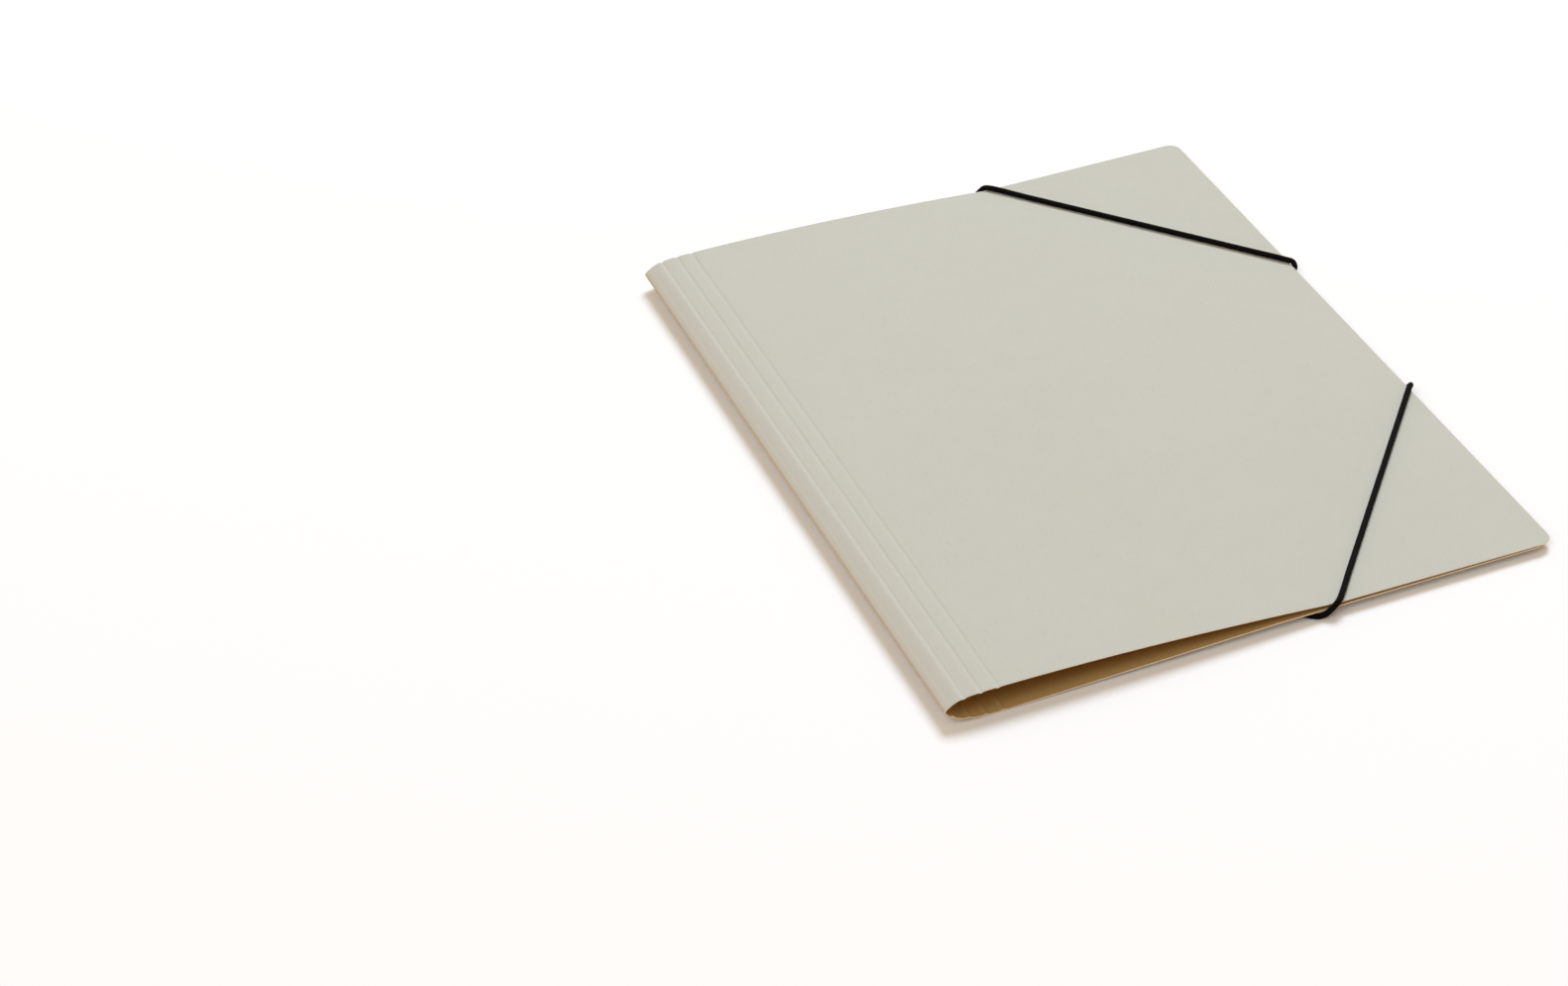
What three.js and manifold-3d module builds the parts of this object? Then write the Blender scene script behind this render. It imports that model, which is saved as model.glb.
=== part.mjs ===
// Closed elastic folder of card, lying on its back cover, with a round elastic over its fore corners.
// Millimetres. X runs from the spine to the fore edge, Y along the spine, Z up from the table.
// The origin is at the table, under the middle of the folder.
import * as THREE from "three";
import { mergeVertices } from "three/addons/utils/BufferGeometryUtils.js";
import Module from "manifold-3d";

const wasm = await Module();
wasm.setup();

// Card
const COVER_LENGTH = 320;
const FRONT_PANEL = 215.8;
const BACK_PANEL = 211.6;
const CARD = 0.55;
const CORNER_RADIUS = 5;

// Creases and fold, measured along the flat card
const CREASE_PITCH = 6.4;
const CREASE_WIDTH = 2.6;
const CREASE_DEPTH = 0.4;
const FRONT_CREASES = 3;
const BACK_CREASES = 4;
const FOLD_TO_CREASE = 2.3;
const FOLD_HALF_WIDTH = 1.2;

// Heading of the card in degrees: 0 runs to the fore edge, 90 straight up, 180 back to the spine
const FOLD_HEADING = 99;
const FRONT_HEADINGS = [41, 8, 1.4, 0];
const BACK_HEADINGS = [134, 148, 170, 177, 180];

// Elastic, its holes in the back cover and its end bars
const CORD_DIAMETER = 2.3;
const CORD_SIDES = 8;
const HOLE_DIAMETER = 3.4;
const HOLE_TO_FORE_EDGE = 111;
const HOLE_TO_END = 10.3;
const CROSSING_TO_FORE_EDGE = 85.5;
const WRAP_TO_BOTTOM = 110.5;
const WRAP_TO_TOP = 107.5;
const BAR_DIAMETER = 2.5;
const BAR_LENGTH = 13.5;
const BAR_NECK_SHARE = 1 / 3;
const BAR_ANGLE = 43;

// Fits
const CLEARANCE = 0.3;
const COVER_GAP = 0.2;
const RISE_AT_CROSSING = 0.8;
const PANEL_BOW = 1.8;

// Lines that shape the card: in the spine, from the last crease on each cover, and along the elastic,
// as shares of its way from where it crosses an end to where it wraps the fore edge
const SPINE_STEP = 2;
const FRONT_LINES = [8, 22, 45, 76, 110];
const BACK_LINES = [8, 55, 103, 116, 130, 145, 160, 175, 190, BACK_PANEL - 9, BACK_PANEL];
const ELASTIC_SHARES = [0, 0.09, 0.18, 0.28, 0.39, 0.51, 0.64, 0.77, 0.89, 1];

const rad = THREE.MathUtils.degToRad;
const clamp = THREE.MathUtils.clamp;

// Places along the flat card, from the fold: positive towards the front cover
const creaseAt = (number) => FOLD_TO_CREASE - (number - FRONT_CREASES - 1) * CREASE_PITCH;
const SPINE_FRONT = creaseAt(1);
const SPINE_BACK = creaseAt(FRONT_CREASES + 1 + BACK_CREASES);
const FRONT_TURNS = [[0, FOLD_HEADING], [FOLD_HALF_WIDTH, FRONT_HEADINGS[0]],
  ...FRONT_HEADINGS.slice(1).map((heading, i) => [creaseAt(FRONT_CREASES - i), heading])];
const BACK_TURNS = [[0, FOLD_HEADING], [FOLD_HALF_WIDTH, BACK_HEADINGS[0]],
  ...BACK_HEADINGS.slice(1).map((heading, i) => [-creaseAt(FRONT_CREASES + 2 + i), heading])];

// Walk from the fold along a chain of arcs, each turning evenly from one heading to the next
function walkSpine(s) {
  const turns = s < 0 ? BACK_TURNS : FRONT_TURNS;
  const place = { x: 0, z: 0, heading: rad(FOLD_HEADING) };
  for (let i = 1; i < turns.length; i += 1) {
    const [start, from] = turns[i - 1];
    const [end, to] = turns[i];
    const length = clamp(Math.abs(s) - start, 0, end - start);
    const turn = rad(to - from) * length / (end - start);
    const chord = turn === 0 ? length : length * Math.sin(turn / 2) / (turn / 2);
    const middle = rad(from) + turn / 2;
    place.x += Math.sign(s) * chord * Math.cos(middle);
    place.z += Math.sign(s) * chord * Math.sin(middle);
    if (length > 0) place.heading = rad(from) + turn;
  }
  return place;
}

// The middle of the card's thickness: the last crease of the back cover lies on the table
const SPINE_DROP = walkSpine(SPINE_BACK).z;
const FRONT_START = { x: walkSpine(SPINE_FRONT).x, z: walkSpine(SPINE_FRONT).z - SPINE_DROP + CARD / 2 };
const BACK_START = { x: walkSpine(SPINE_BACK).x, z: CARD / 2 };
const FORE_EDGE = FRONT_START.x + FRONT_PANEL;
const BACK_FORE_EDGE = BACK_START.x + BACK_PANEL;

// The elastic lifts the back cover, and holds the front cover down on it
const CORD_LIFT = CORD_DIAMETER + CLEARANCE;
const BACK_HEIGHT = CARD / 2 + CORD_LIFT;
const CLOSED_HEIGHT = BACK_HEIGHT + CARD + COVER_GAP;
const HOLE_X = FORE_EDGE - HOLE_TO_FORE_EDGE;
const CROSSING_X = FORE_EDGE - CROSSING_TO_FORE_EDGE;
const STRETCH_X = BACK_FORE_EDGE - 2 * CORD_DIAMETER;

// Distance of a place along the spine from the nearer end, and of the elastic's wrap from that end
const toEnd = (y) => COVER_LENGTH / 2 - Math.abs(y);
const wrapToEnd = (y) => (y < 0 ? WRAP_TO_BOTTOM : WRAP_TO_TOP);

// Where the elastic runs over the front cover
function elasticX(y) {
  return CROSSING_X + CROSSING_TO_FORE_EDGE * clamp(toEnd(y) / wrapToEnd(y), 0, 1);
}

// Height of the front cover's corner, flat under the elastic
function cornerHeight(x) {
  return CLOSED_HEIGHT + RISE_AT_CROSSING * (FORE_EDGE - x) / CROSSING_TO_FORE_EDGE;
}

// Height of the front cover: bowed from the spine to the elastic, then the flat corner
function frontHeight(x, y) {
  const elastic = elasticX(y);
  if (x >= elastic) return cornerHeight(x);
  const share = Math.max(0, x - FRONT_START.x) / (elastic - FRONT_START.x);
  return FRONT_START.z - (FRONT_START.z - cornerHeight(elastic)) * share ** PANEL_BOW;
}

// Height of the back cover: straight from the table up to where the elastic runs under it
function backHeight(x, y) {
  const inward = clamp((toEnd(y) - HOLE_TO_END) / (wrapToEnd(y) - HOLE_TO_END), 0, 1);
  const support = HOLE_X + (STRETCH_X - HOLE_X) * inward;
  const share = clamp((x - BACK_START.x) / (support - BACK_START.x), 0, 1);
  return CARD / 2 + CORD_LIFT * share;
}

// How far a crease presses the card inwards
function creaseDent(s) {
  for (let number = 1; number <= FRONT_CREASES + 1 + BACK_CREASES; number += 1) {
    const off = Math.abs(s - creaseAt(number));
    const inFold = number === FRONT_CREASES + 1;
    const wave = Math.cos(2 * Math.PI * off / CREASE_WIDTH);
    if (!inFold && off < CREASE_WIDTH / 2) return CREASE_DEPTH * (1 + wave) / 2;
  }
  return 0;
}

// x and z of a point of the folded card: s along the flat card, and the face, 1 outside or -1 inside
function foldedPoint(s, y, face) {
  if (s > SPINE_FRONT + CREASE_WIDTH / 2) {
    const x = FRONT_START.x + s - SPINE_FRONT;
    return [x, frontHeight(x, y) + face * CARD / 2];
  }
  if (s < SPINE_BACK - CREASE_WIDTH / 2) {
    const x = BACK_START.x + SPINE_BACK - s;
    return [x, backHeight(x, y) - face * CARD / 2];
  }
  const place = walkSpine(clamp(s, SPINE_BACK, SPINE_FRONT));
  const flat = s - clamp(s, SPINE_BACK, SPINE_FRONT);
  const outwards = face * CARD / 2 - creaseDent(s);
  return [
    place.x + flat * Math.cos(place.heading) - outwards * Math.sin(place.heading),
    place.z - SPINE_DROP + CARD / 2 + outwards * Math.cos(place.heading),
  ];
}

// Add points between neighbours that lie further apart than the step
function fillGaps(places, step) {
  return places.flatMap((place, i) => {
    const next = places[i + 1] ?? place;
    const parts = Math.max(1, Math.ceil((next - place) / step - 1e-6));
    return Array.from({ length: parts }, (_, k) => place + (next - place) * k / parts);
  });
}

// Lines along the spine, as places on the flat card: close in the fold and in the creases
function cardLines() {
  const spine = [-FOLD_HALF_WIDTH, FOLD_HALF_WIDTH];
  for (let number = 1; number <= FRONT_CREASES + 1 + BACK_CREASES; number += 1) {
    if (number === FRONT_CREASES + 1) continue;
    for (let k = -2; k <= 2; k += 1) spine.push(creaseAt(number) + k * CREASE_WIDTH / 4);
  }
  spine.sort((a, b) => a - b);
  const front = FRONT_LINES.map((x) => SPINE_FRONT + x);
  const corner = ELASTIC_SHARES.map((share) => SPINE_FRONT + FRONT_PANEL - CROSSING_TO_FORE_EDGE * (1 - share));
  const back = BACK_LINES.map((x) => SPINE_BACK - x).reverse();
  return [...back, ...fillGaps(spine, SPINE_STEP), ...front, ...corner];
}

// A flat box of card, one segment for each line, bent point by point into the folded sheet
function foldedSheet() {
  const along = cardLines();
  const bottom = ELASTIC_SHARES.map((share) => WRAP_TO_BOTTOM * share - COVER_LENGTH / 2);
  const top = ELASTIC_SHARES.map((share) => COVER_LENGTH / 2 - WRAP_TO_TOP * share);
  const rows = [...bottom, ...top.reverse()];
  const [columns, lines] = [along.length - 1, rows.length - 1];
  const sheet = new THREE.BoxGeometry(columns, lines, 2, columns, lines, 1);
  const points = sheet.attributes.position;
  for (let i = 0; i < points.count; i += 1) {
    const y = rows[Math.round(points.getY(i) + lines / 2)];
    const s = along[Math.round(points.getX(i) + columns / 2)];
    const [x, z] = foldedPoint(s, y, points.getZ(i));
    points.setXYZ(i, x, y, z);
  }
  return sheet;
}

// What rounding takes off a fore corner, from one height to another
function cornerOffcut(foreEdge, end, low, high) {
  const past = 2;
  const outline = new THREE.Shape();
  outline.moveTo(past, -past);
  outline.lineTo(past, CORNER_RADIUS);
  outline.lineTo(0, CORNER_RADIUS);
  outline.absarc(-CORNER_RADIUS, CORNER_RADIUS, CORNER_RADIUS, 0, -Math.PI / 2, true);
  outline.lineTo(-CORNER_RADIUS, -past);
  outline.closePath();
  const depth = high - low;
  const offcut = new THREE.ExtrudeGeometry(outline, { depth, bevelEnabled: false, curveSegments: 10 });
  if (end > 0) offcut.rotateZ(Math.PI / 2);
  return offcut.translate(foreEdge, end * COVER_LENGTH / 2, low);
}

// A punched hole through the back cover
function punchedHole(end) {
  const height = 2 * CORD_DIAMETER;
  const y = end * (COVER_LENGTH / 2 - HOLE_TO_END);
  const punch = new THREE.CylinderGeometry(HOLE_DIAMETER / 2, HOLE_DIAMETER / 2, height, 20);
  return punch.rotateX(Math.PI / 2).translate(HOLE_X, y, BACK_HEIGHT - CARD);
}

// Closed geometry to solid and back
function solid(geometry) {
  const bare = geometry.clone();
  bare.deleteAttribute("normal");
  bare.deleteAttribute("uv");
  const merged = mergeVertices(bare, 1e-4);
  const vertProperties = new Float32Array(merged.attributes.position.array);
  const triVerts = new Uint32Array(merged.index.array);
  return new wasm.Manifold(new wasm.Mesh({ numProp: 3, vertProperties, triVerts }));
}

function surface(shape) {
  const mesh = shape.getMesh();
  const geometry = new THREE.BufferGeometry();
  geometry.setAttribute("position", new THREE.BufferAttribute(mesh.vertProperties, 3));
  geometry.setIndex(new THREE.BufferAttribute(mesh.triVerts, 1));
  geometry.computeVertexNormals();
  return geometry;
}

// The whole card: the folded sheet with its fore corners rounded and its two holes punched
function folderCard() {
  const split = BACK_HEIGHT + CARD / 2 + COVER_GAP / 2;
  const top = FRONT_START.z + CARD;
  let card = solid(foldedSheet());
  for (const end of [-1, 1]) {
    card = card.subtract(solid(cornerOffcut(FORE_EDGE, end, split, top)));
    card = card.subtract(solid(cornerOffcut(BACK_FORE_EDGE, end, -CARD, split)));
    card = card.subtract(solid(punchedHole(end)));
  }
  return surface(card);
}

// Half of the elastic's route, from its hole at one end to the middle of the fore edge
function cordHalfRoute(end) {
  const run = wrapToEnd(end);
  const reach = CORD_DIAMETER / 2 + CLEARANCE;
  const lean = reach * Math.SQRT1_2;
  const under = CORD_DIAMETER / 2;
  const backUnder = BACK_HEIGHT - CARD / 2;
  const crossingTop = cornerHeight(CROSSING_X) + CARD / 2;
  const foreTop = CLOSED_HEIGHT + CARD / 2;
  const onFront = (share) => {
    const x = CROSSING_X + CROSSING_TO_FORE_EDGE * share;
    return [x, run * share, cornerHeight(x) + CARD / 2 + reach];
  };
  const places = [
    [HOLE_X, HOLE_TO_END, BACK_HEIGHT + CARD / 2],
    [HOLE_X, HOLE_TO_END, backUnder + 0.1],
    [HOLE_X + 0.6, HOLE_TO_END - 0.3, under + 0.4],
    [HOLE_X + 2.6, HOLE_TO_END - 1.3, under],
    [HOLE_X + 11, HOLE_TO_END - 5.5, under],
    [CROSSING_X - 8.6, 0.1, under],
    [CROSSING_X - 6.4, -lean, backUnder - lean],
    [CROSSING_X - 5, -reach, backUnder + 0.1],
    [CROSSING_X - 2.6, -reach, crossingTop - 0.1],
    [CROSSING_X - 1.2, -lean, crossingTop + lean],
    onFront(0.004),
    onFront(0.14),
    onFront(0.48),
    onFront(0.86),
    onFront(0.985),
    [FORE_EDGE + lean, run + 0.9, foreTop + lean],
    [FORE_EDGE + reach, run + 1.9, foreTop - 0.1],
    [FORE_EDGE + reach - 0.2, run + 2.7, backUnder + 0.3],
    [FORE_EDGE - 0.6, run + 4, under + 0.35],
    [STRETCH_X + 4, run + 7, under],
    [STRETCH_X + 0.8, run + 18, under],
    [STRETCH_X, COVER_LENGTH / 2, under],
  ];
  return places.map(([x, fromEnd, z]) => new THREE.Vector3(x, end * (COVER_LENGTH / 2 - fromEnd), z));
}

// A smooth curve whose steps follow its points, so that they lie close in the bends
class CordCurve extends THREE.CatmullRomCurve3 {
  getUtoTmapping(u) {
    return u;
  }
}

function elasticCord() {
  const points = [...cordHalfRoute(-1), ...cordHalfRoute(1).slice(0, -1).reverse()];
  const route = new CordCurve(points, false, "centripetal");
  const section = new THREE.Shape();
  for (let i = 0; i < CORD_SIDES; i += 1) {
    const angle = 2 * Math.PI * i / CORD_SIDES;
    const corner = [CORD_DIAMETER / 2 * Math.cos(angle), CORD_DIAMETER / 2 * Math.sin(angle)];
    if (i === 0) section.moveTo(...corner);
    else section.lineTo(...corner);
  }
  section.closePath();
  return new THREE.ExtrudeGeometry(section, { steps: 2 * (points.length - 1), extrudePath: route });
}

// A round-ended bar on the inside of the back cover, with a neck that faces the cord in its hole
function endBar(end) {
  const seat = BACK_HEIGHT + CARD / 2 + CLEARANCE;
  const radius = BAR_DIAMETER / 2;
  const bar = new THREE.CapsuleGeometry(radius, BAR_LENGTH - BAR_DIAMETER, 4, 12);
  bar.rotateZ(-Math.PI / 2).translate(BAR_LENGTH * (0.5 - BAR_NECK_SHARE), 0, radius);
  const neck = new THREE.CylinderGeometry(radius, radius, radius, 12);
  neck.rotateX(Math.PI / 2).translate(0, 0, radius / 2);
  const joined = surface(solid(bar).add(solid(neck))).rotateZ(rad(-end * BAR_ANGLE));
  return joined.translate(HOLE_X, end * (COVER_LENGTH / 2 - HOLE_TO_END), seat);
}

const cardFinish = new THREE.MeshStandardMaterial({ color: 0xc8c8bd, roughness: 0.9 });
const cordFinish = new THREE.MeshStandardMaterial({ color: 0x17161a, roughness: 0.8 });
const barFinish = new THREE.MeshStandardMaterial({ color: 0x26262a, roughness: 0.45 });

function named(name, geometry, finish) {
  const mesh = new THREE.Mesh(geometry, finish);
  mesh.name = name;
  return mesh;
}

const folder = new THREE.Group();
folder.add(
  named("folder_card", folderCard(), cardFinish),
  named("elastic_cord", elasticCord(), cordFinish),
  named("end_bar_bottom", endBar(-1), barFinish),
  named("end_bar_top", endBar(1), barFinish),
);

// Centre the folder's footprint on the origin
const box = new THREE.Box3().setFromObject(folder);
folder.position.set(-(box.min.x + box.max.x) / 2, -(box.min.y + box.max.y) / 2, -box.min.z);

export default folder;
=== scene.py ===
"""Closed elastic folder of grey-beige card, lying on its back cover, held shut by a black elastic.

The sizes are those of the solid model, in millimetres. Every mesh is written in metres in the
model's frame: X from the spine to the fore edge, Y along the spine, Z up from the table.
"""

import logging
import math
from dataclasses import dataclass, field
from enum import Enum

import bmesh
import bpy
from mathutils import Matrix, Vector


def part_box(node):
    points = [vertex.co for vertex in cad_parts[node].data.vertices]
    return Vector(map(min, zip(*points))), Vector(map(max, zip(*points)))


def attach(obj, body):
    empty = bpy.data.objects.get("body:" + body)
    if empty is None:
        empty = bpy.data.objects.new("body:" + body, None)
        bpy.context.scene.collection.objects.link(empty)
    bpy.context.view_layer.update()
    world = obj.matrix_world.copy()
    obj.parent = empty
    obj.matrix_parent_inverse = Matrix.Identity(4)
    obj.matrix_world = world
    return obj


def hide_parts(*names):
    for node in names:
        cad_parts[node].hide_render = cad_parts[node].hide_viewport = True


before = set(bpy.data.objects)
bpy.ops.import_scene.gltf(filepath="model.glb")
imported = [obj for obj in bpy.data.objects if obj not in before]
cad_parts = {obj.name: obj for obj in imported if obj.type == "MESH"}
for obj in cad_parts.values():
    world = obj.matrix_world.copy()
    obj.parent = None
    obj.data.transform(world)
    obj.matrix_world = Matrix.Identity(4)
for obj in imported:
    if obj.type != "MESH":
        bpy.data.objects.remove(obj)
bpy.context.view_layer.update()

LOG = logging.getLogger("elastic_folder")
MM = 0.001
# Stands for rounding errors, so that they add no step and nothing is divided by zero
SLACK = 1e-6

Object = bpy.types.Object
Material = bpy.types.Material
NodeTree = bpy.types.NodeTree
Node = bpy.types.Node
Socket = bpy.types.NodeSocket
Vertex = bmesh.types.BMVert
Outputs = bpy.types.bpy_prop_collection
Rgb = tuple[int, int, int]
# A pair of numbers, mostly the ends of a range, and a range with the one that it is mapped to
Span = tuple[float, float]
Remap = tuple[float, float, float, float]
Number = float | Socket
Colour = tuple[float, ...] | Socket


def clamp(value: float, low: float, high: float) -> float:
    """Keeps a value between two limits."""
    return max(low, min(high, value))


class Face(Enum):
    """The two faces of the card, as the side of its middle that they lie on."""

    OUTSIDE = 1.0
    INSIDE = -1.0


class End(Enum):
    """The two ends of the folder along the spine."""

    BOTTOM = -1
    TOP = 1


class CardSlot(Enum):
    """The card's two materials, by their place in its list."""

    FACE = 0
    CUT_EDGE = 1


@dataclass
class FolderForm:
    """Sizes of the folded card and its elastic, in millimetres, and the places that follow."""

    cover_length: float = 320.0
    front_panel: float = 215.8
    back_panel: float = 211.6
    card: float = 0.55
    corner_radius: float = 5.0

    crease_pitch: float = 6.4
    crease_width: float = 2.6
    crease_depth: float = 0.4
    front_creases: int = 3
    back_creases: int = 4
    fold_to_crease: float = 2.3
    fold_half_width: float = 1.2

    fold_heading: float = 99.0
    front_headings: tuple[float, ...] = (41.0, 8.0, 1.4, 0.0)
    back_headings: tuple[float, ...] = (134.0, 148.0, 170.0, 177.0, 180.0)

    cord_diameter: float = 2.3
    hole_diameter: float = 3.4
    hole_to_fore_edge: float = 111.0
    hole_to_end: float = 10.3
    crossing_to_fore_edge: float = 85.5
    wrap_to_bottom: float = 110.5
    wrap_to_top: float = 107.5

    clearance: float = 0.3
    cover_gap: float = 0.2
    rise_at_crossing: float = 0.8
    panel_bow: float = 1.8

    def __post_init__(self) -> None:
        """Works out the places that follow from the sizes."""
        # The creases that show: all but the one that the fold takes up
        last = self.front_creases + 1 + self.back_creases
        self.crease_numbers: list[int] = [
            number for number in range(1, last + 1) if number != self.front_creases + 1]
        self.spine_front: float = self.crease_at(1)
        self.spine_back: float = self.crease_at(last)
        # x and z where the covers' panels leave the spine
        front_x, front_z, _ = self.walk_spine(self.spine_front)
        back_x, back_z, _ = self.walk_spine(self.spine_back)
        self.spine_drop: float = back_z
        self.front_start: Span = (front_x, front_z - back_z + self.card / 2)
        self.back_start: Span = (back_x, self.card / 2)
        self.fore_edge: float = front_x + self.front_panel
        # The elastic lifts the back cover, and holds the front cover down on it
        self.cord_lift: float = self.cord_diameter + self.clearance
        self.back_height: float = self.card / 2 + self.cord_lift
        self.closed_height: float = self.back_height + self.card + self.cover_gap
        # x of the elastic's holes, of where it comes round an end, and of its hidden stretch
        self.hole_x: float = self.fore_edge - self.hole_to_fore_edge
        self.crossing_x: float = self.fore_edge - self.crossing_to_fore_edge
        self.stretch_x: float = back_x + self.back_panel - 2 * self.cord_diameter

    def crease_at(self, number: int) -> float:
        """Place of a crease along the flat card, from the fold, positive to the front cover."""
        return self.fold_to_crease - (number - self.front_creases - 1) * self.crease_pitch

    def turns(self, front: bool) -> list[Span]:
        """Distances from the fold and the heading that the card has there.

        Args:
            front: Whether the front cover's side is meant.

        Returns:
            Pairs of distance in millimetres and heading in degrees.
        """
        first, *others = self.front_headings if front else self.back_headings
        nearest, step = (self.front_creases, -1) if front else (self.front_creases + 2, 1)
        places = [abs(self.crease_at(nearest + step * i)) for i in range(len(others))]
        return [(0.0, self.fold_heading), (self.fold_half_width, first), *zip(places, others)]

    def walk_spine(self, s: float) -> tuple[float, float, float]:
        """Walks from the fold along a chain of arcs, each turning evenly to the next heading.

        Args:
            s: Place along the flat card.

        Returns:
            x and z of the middle of the card there, and its heading in radians.
        """
        turns = self.turns(s >= 0)
        side = 1.0 if s >= 0 else -1.0
        x = z = 0.0
        heading = math.radians(self.fold_heading)
        for (start, before), (end, after) in zip(turns, turns[1:]):
            length = clamp(abs(s) - start, 0.0, end - start)
            if length <= 0:
                break
            turn = math.radians(after - before) * length / (end - start)
            chord = length * math.sin(turn / 2) / (turn / 2) if turn else length
            middle = math.radians(before) + turn / 2
            x += side * chord * math.cos(middle)
            z += side * chord * math.sin(middle)
            heading = math.radians(before) + turn
        return x, z, heading

    def hole_y(self, end: End) -> float:
        """y of the elastic's hole near an end."""
        return end.value * (self.cover_length / 2 - self.hole_to_end)

    def to_end(self, y: float) -> float:
        """Distance from the nearer end."""
        return self.cover_length / 2 - abs(y)

    def wrap_to_end(self, y: float) -> float:
        """Distance from the nearer end to where the elastic wraps the fore edge."""
        return self.wrap_to_bottom if y < 0 else self.wrap_to_top

    def elastic_x(self, y: float) -> float:
        """x of the elastic on the front cover."""
        share = clamp(self.to_end(y) / self.wrap_to_end(y), 0, 1)
        return self.crossing_x + self.crossing_to_fore_edge * share

    def corner_height(self, x: float) -> float:
        """Height of the front cover's corner, flat under the elastic."""
        inward = (self.fore_edge - x) / self.crossing_to_fore_edge
        return self.closed_height + self.rise_at_crossing * inward

    def front_height(self, x: float, y: float) -> float:
        """Height of the front cover: bowed from the spine to the elastic, then the flat corner.

        Args:
            x: Place across the cover.
            y: Place along the spine.

        Returns:
            The height of the middle of the card.
        """
        elastic = self.elastic_x(y)
        if x >= elastic:
            return self.corner_height(x)
        start_x, start_z = self.front_start
        share = max(0.0, x - start_x) / (elastic - start_x)
        return start_z - (start_z - self.corner_height(elastic)) * share ** self.panel_bow

    def back_height_at(self, x: float, y: float) -> float:
        """Height of the back cover: straight from the table up to the elastic under it.

        Args:
            x: Place across the cover.
            y: Place along the spine.

        Returns:
            The height of the middle of the card.
        """
        diagonal = self.wrap_to_end(y) - self.hole_to_end
        inward = clamp((self.to_end(y) - self.hole_to_end) / diagonal, 0, 1)
        support = self.hole_x + (self.stretch_x - self.hole_x) * inward
        start_x = self.back_start[0]
        return self.card / 2 + self.cord_lift * clamp((x - start_x) / (support - start_x), 0, 1)

    def crease_dent(self, s: float) -> float:
        """How far a crease presses the card inwards.

        Args:
            s: Place along the flat card.

        Returns:
            The depth there, nothing between the creases.
        """
        for number in self.crease_numbers:
            off = abs(s - self.crease_at(number))
            if off < self.crease_width / 2:
                wave = math.cos(2 * math.pi * off / self.crease_width)
                return self.crease_depth * (1 + wave) / 2
        return 0.0

    def folded_point(self, s: float, y: float, side: float) -> Span:
        """A point of the folded card.

        Args:
            s: Place along the flat card.
            y: Place along the spine, from its middle.
            side: Place through the card, from -1 on its inside to 1 on its outside.

        Returns:
            x and z of the point in the part's own frame.
        """
        half = side * self.card / 2
        if s > self.spine_front + self.crease_width / 2:
            x = self.front_start[0] + s - self.spine_front
            return x, self.front_height(x, y) + half
        if s < self.spine_back - self.crease_width / 2:
            x = self.back_start[0] + self.spine_back - s
            return x, self.back_height_at(x, y) - half
        on_spine = clamp(s, self.spine_back, self.spine_front)
        x, z, heading = self.walk_spine(on_spine)
        flat = s - on_spine
        outwards = half - self.crease_dent(s)
        return (x + flat * math.cos(heading) - outwards * math.sin(heading),
                z - self.spine_drop + self.card / 2 + outwards * math.cos(heading))


@dataclass(frozen=True)
class Placing:
    """Carries the part's own millimetres into the frame's metres."""

    shift: Vector

    @classmethod
    def onto_frame(cls, form: FolderForm, tries: int = 2000) -> "Placing":
        """Finds the shift that lays the spine's outer face on the solid card's.

        Args:
            form: The folder's sizes.
            tries: How many steps the spine is searched in for its outermost place.

        Returns:
            The placing.
        """
        width = form.spine_front - form.spine_back
        steps = [form.spine_back + width * i / tries for i in range(tries + 1)]
        outermost = min(form.folded_point(s, 0.0, Face.OUTSIDE.value)[0] for s in steps)
        low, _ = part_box("folder_card")
        return cls(Vector((low[0] - MM * outermost, 0.0, low[2])))

    def __call__(self, x: float, y: float, z: float) -> Vector:
        """A point of the part in the frame, in metres."""
        return Vector((x * MM, y * MM, z * MM)) + self.shift


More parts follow.
